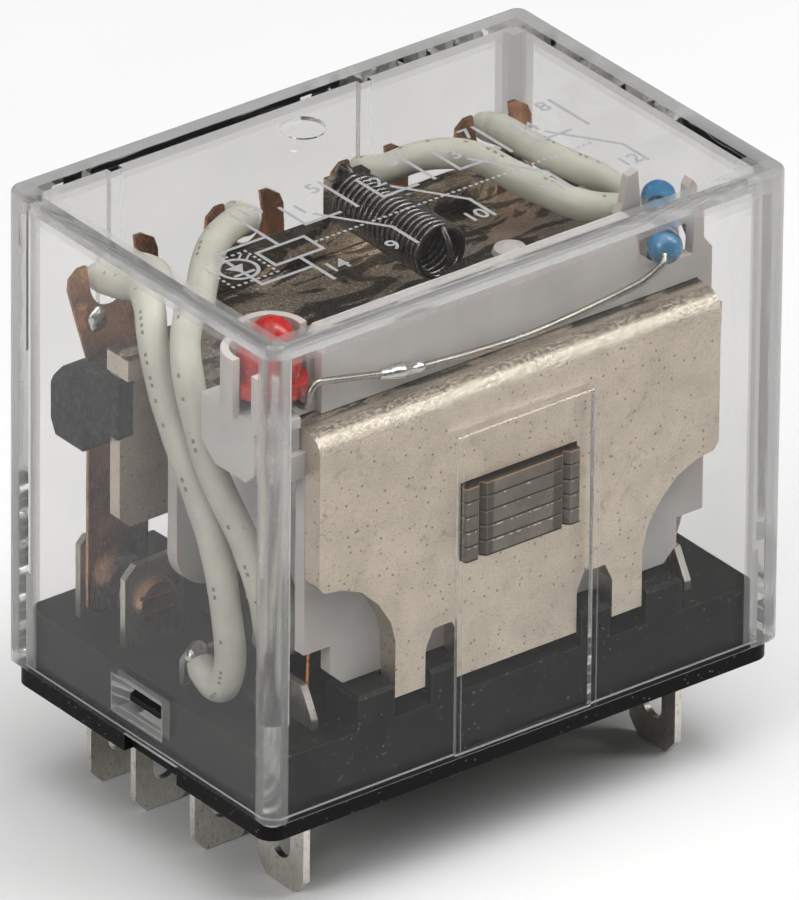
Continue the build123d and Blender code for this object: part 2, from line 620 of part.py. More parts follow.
# ======================= lead wires =======================
NOTCH_Y = 9.75
WIRE_ROUTES = (
    [(-15.0, 10.6, 29.0), (-15.0, 8.6, 29.25), (-14.9, 6.0, 30.2), (-16.2, 3.4, 30.6), (-17.4, 1.5, 28.8),
     (-17.4, 0.3, 25.4), (-17.4, -2.2, 21.6), (-17.4, -4.9, 17.6), (-17.4, -6.2, 13.6), (-17.4, -6.8, 10.0),
     (-17.4, -6.2, 7.3), (-17.25, -4.2, 6.9), (-16.95, -2.95, 7.8)],
    [(-5.0, 10.6, 29.0), (-5.1, 8.6, 29.3), (-7.6, 6.9, 30.9), (-11.4, 4.5, 31.5), (-14.7, 1.2, 31.0),
     (-17.1, -1.3, 29.2), (-17.3, -2.6, 26.0), (-17.2, -4.4, 21.9), (-16.6, -7.0, 18.4), (-16.0, -8.2, 14.8),
     (-15.3, -8.0, 11.6), (-13.9, -5.7, 9.4), (-10.6, -3.8, 8.5), (-6.9, -3.1, 8.4)],
    [(5.0, 10.6, 29.0), (5.1, 8.8, 29.4), (7.6, 7.4, 30.6), (9.6, 4.4, 31.3), (10.6, 0.6, 30.5),
     (12.6, -3.0, 29.5), (15.5, -4.6, 29.3), (17.6, -4.5, 27.2), (17.5, -4.4, 21.5), (17.4, -4.3, 16.0),
     (17.0, -4.2, 11.6), (14.6, -4.0, 8.9), (10.6, -3.5, 8.4), (6.9, -3.1, 8.4)],
    [(15.0, 10.6, 29.0), (15.0, 8.7, 29.4), (13.4, 6.6, 30.9), (12.8, 3.2, 31.5), (13.2, 0.2, 31.3),
     (15.2, -1.6, 30.3), (17.3, -1.5, 28.0), (17.6, -0.9, 23.6), (17.6, -0.9, 18.2), (17.5, -1.3, 13.4),
     (17.0, -1.9, 9.1)],
)
lead_wires = []
for number, route in enumerate(WIRE_ROUTES, start=1):
    lead = wire_run(f"lead_wire_{number}", route, LEAD_R)
    lead_wires.append(lead)
    save(lead, f"lead_wire_{number}")

# ======================= solder at the common blades =======================
SOLDER_AT = ((-16.4, COM_Y - 0.35, 7.5), (-6.1, COM_Y - 0.35, 7.7), (6.1, COM_Y - 0.35, 7.7),
             (16.4, COM_Y - 0.1, 7.8))
with BuildPart() as com_solder:
    for spot in SOLDER_AT:
        with Locations(spot):
            Sphere(0.95)
    for number in range(4):
        add(lead_wires[number].part, mode=Mode.SUBTRACT)
        add(com_blades[number].part, mode=Mode.SUBTRACT)
save(com_solder, "com_solder")

# ======================= armature =======================
with BuildPart() as armature:
    with BuildSketch(Plane.XZ.offset(-ARM_FRONT - ARM_T)):
        with BuildLine():
            Polyline((-ARM_HALF + 0.8, ARM_LOW), (ARM_HALF - 0.8, ARM_LOW), (ARM_HALF, ARM_LOW + 0.8),
                     (ARM_HALF, ARM_SHOULDER - 0.5), (ARM_HALF - 0.5, ARM_SHOULDER), (ARM_NECK, ARM_SHOULDER),
                     (ARM_NECK, ARM_TOP - 1.2), (ARM_NECK - 1.2, ARM_TOP), (1.5, ARM_TOP), (1.5, TAB_TOP),
                     (-1.5, TAB_TOP), (-1.5, ARM_TOP), (-ARM_NECK + 1.2, ARM_TOP), (-ARM_NECK, ARM_TOP - 1.2),
                     (-ARM_NECK, ARM_SHOULDER), (-ARM_HALF + 0.5, ARM_SHOULDER),
                     (-ARM_HALF, ARM_SHOULDER - 0.5), (-ARM_HALF, ARM_LOW + 0.8), close=True)
        make_face()
        with Locations((0, 31.2)):
            Circle(0.5, mode=Mode.SUBTRACT)
    extrude(amount=ARM_T)
save(armature, "armature")


# ======================= moving springs =======================
moving_springs = []
for number, x in enumerate(POLE_X, start=1):
    with BuildPart() as moving_spring:
        with BuildSketch(Plane.YZ.offset(x - FLAG_W / 2)):
            with BuildLine():
                Polyline((SPRING_FRONT, SPRING_BOTTOM), (SPRING_FRONT, 24.3),
                         (SPRING_FRONT + FLAG_LEAN, SPRING_TOP), (SPRING_BACK + FLAG_LEAN, SPRING_TOP),
                         (SPRING_BACK, 24.3), (SPRING_BACK, SPRING_BOTTOM), close=True)
            make_face()
        extrude(amount=FLAG_W)
        with BuildSketch(Plane.XZ.offset(-12)):
            with BuildLine():
                Polyline((x - SPRING_W / 2, SPRING_BOTTOM + 0.8), (x - SPRING_W / 2 + 0.8, SPRING_BOTTOM),
                         (x + SPRING_W / 2 - 0.8, SPRING_BOTTOM), (x + SPRING_W / 2, SPRING_BOTTOM + 0.8),
                         (x + SPRING_W / 2, 24.7), (x + FLAG_W / 2, 29.3), (x + FLAG_W / 2 - 0.2, 30.0),
                         (x + FLAG_W / 2 - 1.0, SPRING_TOP), (x - FLAG_W / 2 + 1.0, SPRING_TOP),
                         (x - FLAG_W / 2 + 0.2, 30.0), (x - FLAG_W / 2, 29.3), (x - SPRING_W / 2, 24.7),
                         close=True)
            make_face()
            with Locations((x, CONTACT_Z)):
                Circle(SHANK_R + 0.01, mode=Mode.SUBTRACT)
            with Locations((x, NOTCH_Z)):
                Circle(NOTCH_R, mode=Mode.SUBTRACT)
            with Locations((x, NOTCH_Z + 1.5)):
                Rectangle(2 * NOTCH_R, 3.0, mode=Mode.SUBTRACT)
        extrude(amount=6, mode=Mode.INTERSECT)
    moving_springs.append(moving_spring)
    save(moving_spring, f"moving_spring_{number}")

# ======================= card =======================
with BuildPart() as armature_card:
    with BuildSketch(Plane.YZ.offset(-18.1)):
        with BuildLine():
            Polyline((ARM_FRONT + ARM_T + 0.01, 20.0), (7.6, 20.0), (7.8, 18.5), (10.7, 18.5), (11.2, 19.5),
                     (11.2, 22.1), (10.9, 22.7), (9.9, 23.8), (8.1, 24.6), (ARM_FRONT + ARM_T + 0.01, 24.6),
                     close=True)
        make_face()
    extrude(amount=36.2)
    # fingers that wrap the armature's side edges
    for side in (-1, 1):
        with BuildSketch(Plane.XY.offset(20.9)):
            with BuildLine():
                Polyline((side * 18.1, 6.0), (side * 18.1, 4.15), (side * 16.9, 4.15), (side * 16.9, 4.73),
                         (side * 17.52, 4.73), (side * 17.52, 6.0), close=True)
            make_face()
        extrude(amount=4.0)
    # slots that grip the contact springs
    with BuildSketch(Plane.XY.offset(17)):
        with Locations(*[(x, (SPRING_FRONT + SPRING_BACK) / 2) for x in POLE_X]):
            Rectangle(SPRING_W + 0.04, SPRING_T + 0.04)
    extrude(amount=10, mode=Mode.SUBTRACT)
    # relief where the springs start to lean back
    with BuildSketch(Plane.XY.offset(24.25)):
        with Locations(*[(x, SPRING_BACK + 0.1) for x in POLE_X]):
            Rectangle(SPRING_W + 0.3, 0.6)
    extrude(amount=2, mode=Mode.SUBTRACT)
save(armature_card, "armature_card")

# ======================= solder at the flags =======================
with BuildPart() as flag_solder:
    for x in POLE_X:
        side = 1 if x > 0 else -1
        with Locations((x + side * 1.6, SPRING_FRONT + 0.17, 27.3)):
            Sphere(0.75)
    for number in range(4):
        add(lead_wires[number].part, mode=Mode.SUBTRACT)
        add(moving_springs[number].part, mode=Mode.SUBTRACT)
save(flag_solder, "flag_solder")

# ======================= return spring =======================
with BuildPart() as coil_body:
    with BuildLine() as coil_line:
        Helix(HELIX_LEN / TURNS, HELIX_LEN, TURN_R, center=(0, HELIX_FRONT, HELIX_Z), direction=(0, 1, 0))
    with BuildSketch(Plane(origin=coil_line.line @ 0, z_dir=coil_line.line % 0)):
        Circle(COIL_WIRE_R)
    sweep(path=coil_line.line, is_frenet=True)
hook_rear = wire_run("hook_rear", [(0, 4.56, 32.62), (0, 5.25, 33.05), (0, 6.15, 32.7), (0, 6.2, 31.5)], COIL_WIRE_R)
hook_front = wire_run("hook_front", [(0, -4.76, 32.6), (0, -5.4, 31.8), (0, -5.25, 30.2), (0, -5.45, 29.35),
                                   (0, -7.0, 29.3), (0, -7.25, 30.3)],
                      COIL_WIRE_R)
with BuildPart() as return_spring:
    add(coil_body.part)
    add(hook_rear.part)
    add(hook_front.part)
save(return_spring, "return_spring")
print("spring ends", coil_line.line @ 0, coil_line.line @ 1)
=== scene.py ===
import bmesh
import bpy
import json
import math
from mathutils import Matrix, Vector, noise


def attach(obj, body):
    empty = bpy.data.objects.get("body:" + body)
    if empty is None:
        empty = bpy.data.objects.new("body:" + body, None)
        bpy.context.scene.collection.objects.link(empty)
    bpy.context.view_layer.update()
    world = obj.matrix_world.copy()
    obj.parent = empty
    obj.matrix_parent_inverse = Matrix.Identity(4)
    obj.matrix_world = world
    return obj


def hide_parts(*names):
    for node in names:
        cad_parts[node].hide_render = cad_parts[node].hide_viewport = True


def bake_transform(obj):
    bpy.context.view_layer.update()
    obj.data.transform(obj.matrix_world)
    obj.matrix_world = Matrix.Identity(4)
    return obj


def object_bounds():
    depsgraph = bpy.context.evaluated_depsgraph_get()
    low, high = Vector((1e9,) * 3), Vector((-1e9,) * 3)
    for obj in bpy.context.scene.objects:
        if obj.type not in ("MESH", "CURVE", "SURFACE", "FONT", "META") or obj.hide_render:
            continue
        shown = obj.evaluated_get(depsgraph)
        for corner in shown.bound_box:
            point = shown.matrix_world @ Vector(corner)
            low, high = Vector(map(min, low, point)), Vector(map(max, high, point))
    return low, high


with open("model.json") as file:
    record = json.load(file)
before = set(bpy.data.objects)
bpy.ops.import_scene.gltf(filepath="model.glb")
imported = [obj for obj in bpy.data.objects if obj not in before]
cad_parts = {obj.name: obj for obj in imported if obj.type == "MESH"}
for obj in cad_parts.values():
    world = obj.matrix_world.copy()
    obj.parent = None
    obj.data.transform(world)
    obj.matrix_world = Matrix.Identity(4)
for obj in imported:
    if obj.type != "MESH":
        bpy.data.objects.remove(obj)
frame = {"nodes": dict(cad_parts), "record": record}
cad_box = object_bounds()
nodes = frame["nodes"]
MM = 0.001
scene = bpy.context.scene

# places in the model that the looks and pieces follow, in mm
POLES = (-15.0, -5.0, 5.0, 15.0)
WALL = 1.45
LATCH_Z, LATCH_HALF_Z, LATCH_HALF_Y = 4.05, 1.25, 2.6
PANEL_X, PANEL_HALF, PANEL_TOP = 0.05, 5.45, 24.2
FLANGE_TOP = 1.3
YOKE_TOP, YOKE_BEND_REAR = 27.5, -10.0
CORE_LOW, SHEET_PITCH, CORE_TOP = 14.9, 1.07, 20.13
SHADE_FROM, SHADE_TO = 2.4, 3.4
RESISTOR_ENDS = (13.0, -10.0, 30.9), (15.7, -6.7, 30.9)
SPRING_RADIUS, SPRING_AXIS_Z, SPRING_FIRST_Y, SPRING_LAST_Y, SPRING_TURNS = 1.77, 31.05, -4.55, 4.35, 18

scene.view_settings.view_transform = "Standard"
scene.cycles.max_bounces = scene.cycles.glossy_bounces = scene.cycles.transmission_bounces = 28


# ---------------------------------------------------------------- materials
class Paint:
    """One material's node tree. It works in object coordinates, and sizes are in millimetres."""

    def __init__(self, name, metal=0.0, ior=1.5, rough=0.5):
        self.material = bpy.data.materials.new(name)
        self.material.use_nodes = True
        self.tree = self.material.node_tree
        self.tree.nodes.clear()
        self.out = self.tree.nodes.new("ShaderNodeOutputMaterial")
        self.shader = self.tree.nodes.new("ShaderNodeBsdfPrincipled")
        self.set("Metallic", metal)
        self.set("IOR", ior)
        self.set("Roughness", rough)
        self.link(self.shader.outputs[0], self.out.inputs[0])
        self.place = self.node("ShaderNodeTexCoord").outputs["Object"]

    def node(self, kind, **settings):
        made = self.tree.nodes.new(kind)
        for key, value in settings.items():
            setattr(made, key, value)
        return made

    def link(self, source, socket):
        if hasattr(source, "links"):
            self.tree.links.new(source, socket)
        else:
            socket.default_value = source

    def set(self, socket, value):
        if isinstance(value, tuple) and len(value) == 3:
            value = (*value, 1.0)
        self.link(value, self.shader.inputs[socket])

    def stretched(self, stretch):
        made = self.node("ShaderNodeMapping")
        made.inputs["Scale"].default_value = stretch
        self.link(self.place, made.inputs["Vector"])
        return made.outputs[0]

    def cloud(self, size, detail=4.0, rough=0.55, stretch=None, bend=0.0):
        """Soft noise, its features about size mm across, longer where stretch is small."""
        made = self.node("ShaderNodeTexNoise")
        made.inputs["Scale"].default_value = 1 / (size * MM)
        made.inputs["Detail"].default_value = detail
        made.inputs["Roughness"].default_value = rough
        made.inputs["Distortion"].default_value = bend
        self.link(self.stretched(stretch) if stretch else self.place, made.inputs["Vector"])
        return made.outputs[0]

    def specks(self, size, reach, stretch=None):
        """Small separate spots: 1 at each spot's middle, 0 beyond reach of its cell."""
        made = self.node("ShaderNodeTexVoronoi")
        made.inputs["Scale"].default_value = 1 / (size * MM)
        self.link(self.stretched(stretch) if stretch else self.place, made.inputs["Vector"])
        return self.span(made.outputs["Distance"], reach, reach * 0.5)

    def span(self, value, low, high, to_low=0.0, to_high=1.0):
        made = self.node("ShaderNodeMapRange")
        self.link(value, made.inputs["Value"])
        for key, number in (("From Min", low), ("From Max", high), ("To Min", to_low), ("To Max", to_high)):
            made.inputs[key].default_value = number
        return made.outputs[0]

    def sum(self, a, b, how="ADD"):
        made = self.node("ShaderNodeMath", operation=how)
        self.link(a, made.inputs[0])
        self.link(b, made.inputs[1])
        return made.outputs[0]

    def magnitude(self, value):
        made = self.node("ShaderNodeMath", operation="ABSOLUTE")
        self.link(value, made.inputs[0])
        return made.outputs[0]

    def mix(self, share, a, b):
        made = self.node("ShaderNodeMix", data_type="RGBA")
        self.link(share, made.inputs[0])
        self.link((*a, 1.0) if isinstance(a, tuple) else a, made.inputs[6])
        self.link((*b, 1.0) if isinstance(b, tuple) else b, made.inputs[7])
        return made.outputs[2]

    def axis(self, letter):
        made = self.node("ShaderNodeSeparateXYZ")
        self.link(self.place, made.inputs[0])
        return made.outputs[letter]

    def edges(self, width):
        """1 along the piece's sharp edges, fading to 0 on its flats."""
        bevel = self.node("ShaderNodeBevel", samples=4)
        bevel.inputs["Radius"].default_value = width * MM
        flat = self.node("ShaderNodeNewGeometry")
        dot = self.node("ShaderNodeVectorMath", operation="DOT_PRODUCT")
        self.link(bevel.outputs[0], dot.inputs[0])
        self.link(flat.outputs["Normal"], dot.inputs[1])
        return self.span(dot.outputs["Value"], 0.99, 0.8)

    def bump(self, *layers):
        """Each layer is (height socket, depth in mm); they add up."""
        normal = None
        for height, depth in layers:
            made = self.node("ShaderNodeBump")
            made.inputs["Distance"].default_value = depth * MM
            self.link(height, made.inputs["Height"])
            if normal:
                self.link(normal, made.inputs["Normal"])
            normal = made.outputs[0]
        self.link(normal, self.shader.inputs["Normal"])


looks = {}

# charcoal moulding: scuffed and dusty, the flange darker
p = Paint("black_moulding")
p.set("Specular IOR Level", 0.07)
scratch = p.sum(p.specks(1.6, 0.1, (1, 8, 1)), p.specks(2.1, 0.08, (7, 1, 2)), "MAXIMUM")
dust = p.specks(0.55, 0.16)
tone = p.mix(p.span(p.cloud(3.0), 0.35, 0.7), (0.005, 0.0047, 0.0045), (0.012, 0.0115, 0.011))
flange = p.span(p.axis("Z"), (FLANGE_TOP - 0.05) * MM, (FLANGE_TOP + 0.05) * MM, 1, 0)
tone = p.mix(flange, tone, (0.005, 0.0048, 0.0046))
tone = p.mix(p.span(scratch, 0, 1, 0, 0.4), tone, (0.2, 0.19, 0.18))
tone = p.mix(p.span(p.edges(0.12), 0, 1, 0, 0.35), tone, (0.12, 0.115, 0.11))
p.set("Base Color", p.mix(p.span(dust, 0, 1, 0, 0.3), tone, (0.4, 0.39, 0.37)))
p.set("Roughness", p.span(p.cloud(0.7, 6), 0.3, 0.7, 0.28, 0.5))
p.bump((p.cloud(0.12, 3), 0.003), (p.cloud(2.2, 3), 0.02), (scratch, 0.01))
looks["black_moulding"] = p

# clear cover: polished, with faint handling marks; lamps reach what it shuts in
p = Paint("clear_moulding", ior=1.585)
p.set("Specular Tint", (0.06, 0.06, 0.06))
# walls: 1 in each wall's own thickness; broad: the same, reaching past the inner chamfers
walls, broad = [], []
for letter, face in (("X", cad_box[1].x), ("Y", cad_box[1].y), ("Z", cad_box[1].z)):
    size = p.magnitude(p.axis(letter))
    walls.append(p.span(size, face - (WALL + 0.05) * MM, face - (WALL - 0.05) * MM))
    broad.append(p.span(size, face - (WALL + 1.15) * MM, face - (WALL + 1.05) * MM))
corner = p.sum(p.sum(p.sum(walls[0], walls[1]), walls[2]), 1.0, "SUBTRACT")
upright = p.sum(walls[0], walls[1], "MULTIPLY")
# the side posts and the rear top edges look milky: painted reflection, frosted grey on the side away from the front
# corner to stand in for the grey bands the thick walls show by refraction
rear = p.sum(p.sum(p.axis("X"), cad_box[1].x, "DIVIDE"), p.sum(p.axis("Y"), cad_box[1].y, "DIVIDE"))
rear = p.span(rear, -0.2, -0.12)
post = p.sum(p.sum(broad[0], broad[1], "MULTIPLY"), rear, "MULTIPLY")
ledge = p.sum(p.sum(p.sum(walls[0], walls[1], "MAXIMUM"), broad[2], "MULTIPLY"), rear, "MULTIPLY")
grain = p.sum(p.span(p.cloud(0.1, 5, 0.8), 0.35, 0.65, 0.08, 0.3), p.span(upright, 0, 1, 0, 0.03))
# painted reflection: every edge of the cover gets some grey frost, standing in for the grey bands refraction gives
# there
frost_and_painted_bands = p.sum(p.span(corner, 0.0, 1.0), grain, "MULTIPLY")
frost_and_painted_bands = p.sum(frost_and_painted_bands, p.sum(p.span(post, 0, 1, 0, 0.3), p.span(ledge, 0, 1, 0, 0.26), "MAXIMUM"), "MAXIMUM")
frost_and_painted_bands = p.sum(frost_and_painted_bands, p.sum(p.span(corner, 0, 1), p.span(rear, 0, 1, 0, 0.42), "MULTIPLY"), "MAXIMUM")
# the latch windows' edges, the rim and the front panel's step are frosted too
size = p.magnitude(p.sum(p.axis("Z"), LATCH_Z * MM, "SUBTRACT"))
near = p.span(size, (LATCH_HALF_Z + 0.1) * MM, (LATCH_HALF_Z + 0.2) * MM, 1, 0)
middle = p.span(p.magnitude(p.axis("Y")), (LATCH_HALF_Y + 0.05) * MM, (LATCH_HALF_Y + 0.15) * MM, 1, 0)
window = p.sum(p.sum(near, middle, "MULTIPLY"), walls[0], "MULTIPLY")
frost_and_painted_bands = p.sum(frost_and_painted_bands, p.span(window, 0, 1, 0, 0.32), "MAXIMUM")
rim = p.span(p.axis("Z"), (FLANGE_TOP + 0.1) * MM, (FLANGE_TOP + 0.2) * MM, 0.85, 0)
frost_and_painted_bands = p.sum(frost_and_painted_bands, rim, "MAXIMUM")
size = p.magnitude(p.sum(p.axis("X"), PANEL_X * MM, "SUBTRACT"))
size = p.magnitude(p.sum(size, PANEL_HALF * MM, "SUBTRACT"))
step = p.sum(p.span(size, 0.03 * MM, 0.06 * MM, 1, 0), p.span(p.axis("Y"), -11.9 * MM, -12.3 * MM), "MULTIPLY")
step = p.sum(step, p.span(p.axis("Z"), (PANEL_TOP + 0.1) * MM, (PANEL_TOP + 0.2) * MM, 1, 0), "MULTIPLY")
frost_and_painted_bands = p.sum(frost_and_painted_bands, p.span(step, 0, 1, 0, 0.25), "MAXIMUM")
p.set("Transmission Weight", p.span(frost_and_painted_bands, 0, 1, 1, 0))
tint = p.mix(p.span(p.cloud(9.0), 0.3, 0.7), (0.89, 0.885, 0.88), (0.845, 0.842, 0.836))
# painted reflection: where frosted, the cover turns a flat grey
p.set("Base Color", p.mix(p.span(frost_and_painted_bands, 0, 0.3), tint, (0.58, 0.575, 0.57)))
hair = p.sum(p.specks(3.0, 0.03, (1, 9, 3)), p.specks(3.6, 0.03, (8, 1, 4)), "MAXIMUM")
dull = p.sum(p.span(corner, 0, 1, 0, 0.1), p.span(upright, 0, 1, 0, 0.12))
p.set("Roughness", p.sum(p.sum(p.span(hair, 0, 1, 0, 0.25), p.span(p.cloud(4.0, 5), 0.35, 0.75, 0.0, 0.03)), dull))
streaks = p.sum(p.cloud(0.3, 3, 0.6, (1, 1, 0.05)), upright, "MULTIPLY")
p.bump((p.cloud(5.0, 1), 0.012), (streaks, 0.03), (hair, 0.004))
lamp = p.node("ShaderNodeLightPath")
through = p.node("ShaderNodeBsdfTransparent")
through.inputs[0].default_value = (0.90, 0.90, 0.89, 1)
both = p.node("ShaderNodeMixShader")
p.link(lamp.outputs["Is Shadow Ray"], both.inputs[0])
p.link(p.shader.outputs[0], both.inputs[1])
p.link(through.outputs[0], both.inputs[2])
p.link(both.outputs[0], p.out.inputs[0])
looks["clear_moulding"] = p


def metal(name, pale, deep, stain, rough, grain=0.16, depth=0.01, spots=0.12, streak=None,
          edge=(0.9, 0.86, 0.8), painted_reflection_colour=None, bands=False, fleck=0.35):
    """Worn metal: patchy plating, dark specks, fine grain or streaks, bright sheared edges.
    painted_reflection_colour is the colour of painted dark reflections in patches on the yoke's top, which come with
    a crackled painted highlight and painted dark band across the bend in front of them.
    bands marks the core's stacked sheets. fleck is how strongly the grain is stained."""
    q = Paint(name, metal=1.0)
    wide = q.cloud(2.6, 5, 0.6, bend=0.4)
    colour = q.mix(q.span(wide, 0.35, 0.68), pale, deep)
    fine = q.cloud(grain, 4, 0.65, streak)
    colour = q.mix(q.span(fine, 0.52, 0.72, 0, fleck), colour, stain)
    pits = q.sum(q.specks(0.62, spots), q.specks(0.29, spots * 0.8), "MAXIMUM")
    smudge = q.span(q.cloud(1.3, 6, 0.7, bend=0.8), 0.58, 0.76)
    colour = q.mix(q.span(smudge, 0, 1, 0, 0.6), colour, stain)
    colour = q.mix(q.span(pits, 0, 1, 0, 0.85), colour, stain)
    shine = q.sum(q.span(fine, 0.25, 0.75, rough[0], rough[1]), q.span(smudge, 0, 1, 0, 0.12))
    if painted_reflection_colour:
        # painted reflection: dull dark patches on the yoke's top, where it mirrors dark surroundings, with a lower
        # roughness there
        top = q.span(q.axis("Z"), (YOKE_TOP - 0.08) * MM, (YOKE_TOP - 0.04) * MM)
        top = q.sum(top, q.span(q.axis("Y"), (YOKE_BEND_REAR - 0.4) * MM, YOKE_BEND_REAR * MM), "MULTIPLY")
        painted_reflection_cloud = q.span(q.cloud(3.6, 5, 0.6, (0.6, 1.7, 1.0), 0.9), 0.455, 0.5)
        dull = q.sum(top, painted_reflection_cloud, "MULTIPLY")
        colour = q.mix(q.span(dull, 0, 1, 0, 0.88), colour, painted_reflection_colour)
        shine = q.sum(shine, q.span(top, 0, 1, 0, -0.1))
        # painted highlight and painted reflection: across the bend, a crackled bright band where the normal tilts
        # part way up, and a dark band above it where it faces up more
        facing = q.node("ShaderNodeSeparateXYZ")
        q.link(q.node("ShaderNodeNewGeometry").outputs["Normal"], facing.inputs[0])
        bend = q.span(q.sum(facing.outputs["Z"], facing.outputs["Y"], "MULTIPLY"), -0.03, -0.22)
        crackle = q.cloud(0.19, 4, 0.65, (0.6, 1, 1))
        painted_highlight_ridge = q.sum(q.span(facing.outputs["Z"], 0.3, 0.5), q.span(facing.outputs["Z"], 0.86, 0.72), "MULTIPLY")
        painted_highlight_ridge = q.sum(q.sum(painted_highlight_ridge, bend, "MULTIPLY"), q.span(crackle, 0.4, 0.54, 0.2, 0.95), "MULTIPLY")
        painted_dark_brow = q.sum(q.span(facing.outputs["Z"], 0.76, 0.88), bend, "MULTIPLY")
        painted_dark_brow = q.sum(painted_dark_brow, q.span(crackle, 0.6, 0.42, 0.3, 0.9), "MULTIPLY")
        colour = q.mix(painted_dark_brow, q.mix(painted_highlight_ridge, colour, (0.99, 0.91, 0.77)), (0.17, 0.14, 0.11))
        shine = q.sum(shine, q.span(bend, 0, 1, 0, -0.14))
    if bands:
        height = q.sum(q.sum(q.axis("Z"), CORE_LOW * MM, "SUBTRACT"), SHEET_PITCH * MM, "DIVIDE")
        share = q.node("ShaderNodeMath", operation="FRACT")
        q.link(height, share.inputs[0])
        seam = q.sum(q.span(share.outputs[0], 0.10, 0.14, 1, 0), q.span(share.outputs[0], 0.95, 0.98), "MAXIMUM")
        # lighter bare steel at each sheet's burr, and a painted glint: thin bright lines along each sheet's edge
        burr_and_painted_glint = q.span(share.outputs[0], 0.88, 0.90)
        burr_and_painted_glint = q.sum(burr_and_painted_glint, q.span(q.cloud(0.35, 2, 0.5, (1, 1, 0.1)), 0.55, 0.6), "MULTIPLY")
        colour = q.mix(q.span(burr_and_painted_glint, 0, 1, 0, 0.9), colour, edge)
        across = q.magnitude(q.axis("X"))
        shade = q.span(across, (SHADE_FROM - 0.1) * MM, (SHADE_FROM + 0.1) * MM, 0, 0.75)
        shade = q.sum(shade, q.span(across, (SHADE_TO - 0.1) * MM, (SHADE_TO + 0.1) * MM, 1, 0.25), "MULTIPLY")
        colour = q.mix(shade, colour, stain)
        rust = q.span(q.axis("Z"), (CORE_TOP - 0.03) * MM, (CORE_TOP + 0.03) * MM, 0, 0.85)
        colour = q.mix(rust, colour, (0.5, 0.31, 0.17))
        colour = q.mix(seam, colour, (0.02, 0.017, 0.014))
    q.set("Base Color", q.mix(q.span(q.edges(0.07), 0, 1, 0, 0.55), colour, edge))
    q.set("Roughness", shine)
    relief = q.sum(fine, q.span(bend, 0, 1, 1, 0.3), "MULTIPLY") if painted_reflection_colour else fine
    layers = [(relief, depth), (q.cloud(0.9, 3), depth), (pits, -0.02)]
    if painted_reflection_colour:
        layers.append((q.sum(crackle, bend, "MULTIPLY"), 0.13))
    q.bump(*layers)
    return q


# the yoke's plating, with painted dark reflections on its top and a painted highlight on its bend
looks["plated_steel"] = metal("plated_steel", (0.79, 0.69, 0.575), (0.65, 0.57, 0.47), (0.27, 0.22, 0.17),
                              (0.24, 0.42), grain=0.13, depth=0.055, spots=0.18, fleck=0.5,
                              painted_reflection_colour=(0.055, 0.048, 0.04))
looks["core_steel"] = metal("core_steel", (0.19, 0.16, 0.13), (0.27, 0.235, 0.195), (0.07, 0.055, 0.04),
                            (0.25, 0.5), grain=0.11, depth=0.02, streak=(3.0, 1, 0.25), bands=True)
looks["copper"] = metal("copper", (0.72, 0.38, 0.22), (0.25, 0.135, 0.085), (0.06, 0.04, 0.03),
                        (0.18, 0.42), grain=0.09, depth=0.006, streak=(1, 1, 0.12), edge=(0.85, 0.5, 0.3), fleck=0.1)
looks["tinned_brass"] = metal("tinned_brass", (0.74, 0.72, 0.66), (0.60, 0.57, 0.50), (0.15, 0.12, 0.08),
                              (0.24, 0.5), grain=0.2, depth=0.012, streak=(1, 1, 0.35))
looks["contact_metal"] = metal("contact_metal", (0.72, 0.70, 0.66), (0.5, 0.47, 0.42), (0.2, 0.16, 0.12),
                               (0.2, 0.4), grain=0.1, depth=0.006)
looks["contact_copper"] = metal("contact_copper", (0.62, 0.33, 0.20), (0.45, 0.25, 0.16), (0.12, 0.07, 0.05),
                                (0.22, 0.4), grain=0.12, depth=0.008, edge=(0.8, 0.45, 0.28))
looks["tinned_wire"] = metal("tinned_wire", (0.27, 0.255, 0.225), (0.38, 0.365, 0.33), (0.12, 0.1, 0.08),
                             (0.2, 0.42), grain=0.1, depth=0.006)
looks["solder"] = metal("solder", (0.66, 0.66, 0.65), (0.5, 0.5, 0.49), (0.22, 0.2, 0.18),
                        (0.1, 0.34), grain=0.3, depth=0.03, spots=0.08)
looks["spring_steel"] = metal("spring_steel", (0.12, 0.115, 0.108), (0.2, 0.19, 0.18), (0.05, 0.045, 0.04),
                              (0.14, 0.3), grain=0.1, depth=0.004, edge=(0.25, 0.24, 0.22))
looks["bare_copper"] = metal("bare_copper", (0.75, 0.42, 0.26), (0.6, 0.32, 0.2), (0.2, 0.1, 0.06),
                             (0.25, 0.45), grain=0.08, depth=0.004)

# milky nylon
p = Paint("nylon", ior=1.53)
p.set("Base Color", p.mix(p.span(p.cloud(4.0, 4), 0.3, 0.7), (0.40, 0.385, 0.37), (0.48, 0.465, 0.45)))
p.set("Subsurface Weight", 0.35)
p.set("Subsurface Scale", 0.0012)
p.set("Roughness", p.span(p.cloud(0.8, 5), 0.3, 0.7, 0.3, 0.52))
p.bump((p.cloud(0.5, 4), 0.012), (p.edges(0.2), 0.01))
looks["nylon"] = p

# enamelled magnet wire, laid side by side
p = Paint("magnet_wire", ior=1.55)
turns = p.node("ShaderNodeTexWave", wave_type="BANDS", bands_direction="Y")
turns.inputs["Scale"].default_value = 1 / (0.9 * MM)
turns.inputs["Distortion"].default_value = 0.6
p.link(p.place, turns.inputs["Vector"])
p.set("Metallic", 0.6)
# painted shade and painted highlight: the colour runs dark in the gaps between turns and bright along each turn
p.set("Base Color", p.mix(p.span(turns.outputs["Fac"], 0.1, 0.8), (0.22, 0.06, 0.02), (0.62, 0.24, 0.08)))
p.set("Roughness", p.span(p.cloud(0.5), 0.3, 0.7, 0.2, 0.4))
p.bump((turns.outputs["Fac"], 0.03))
looks["magnet_wire"] = p

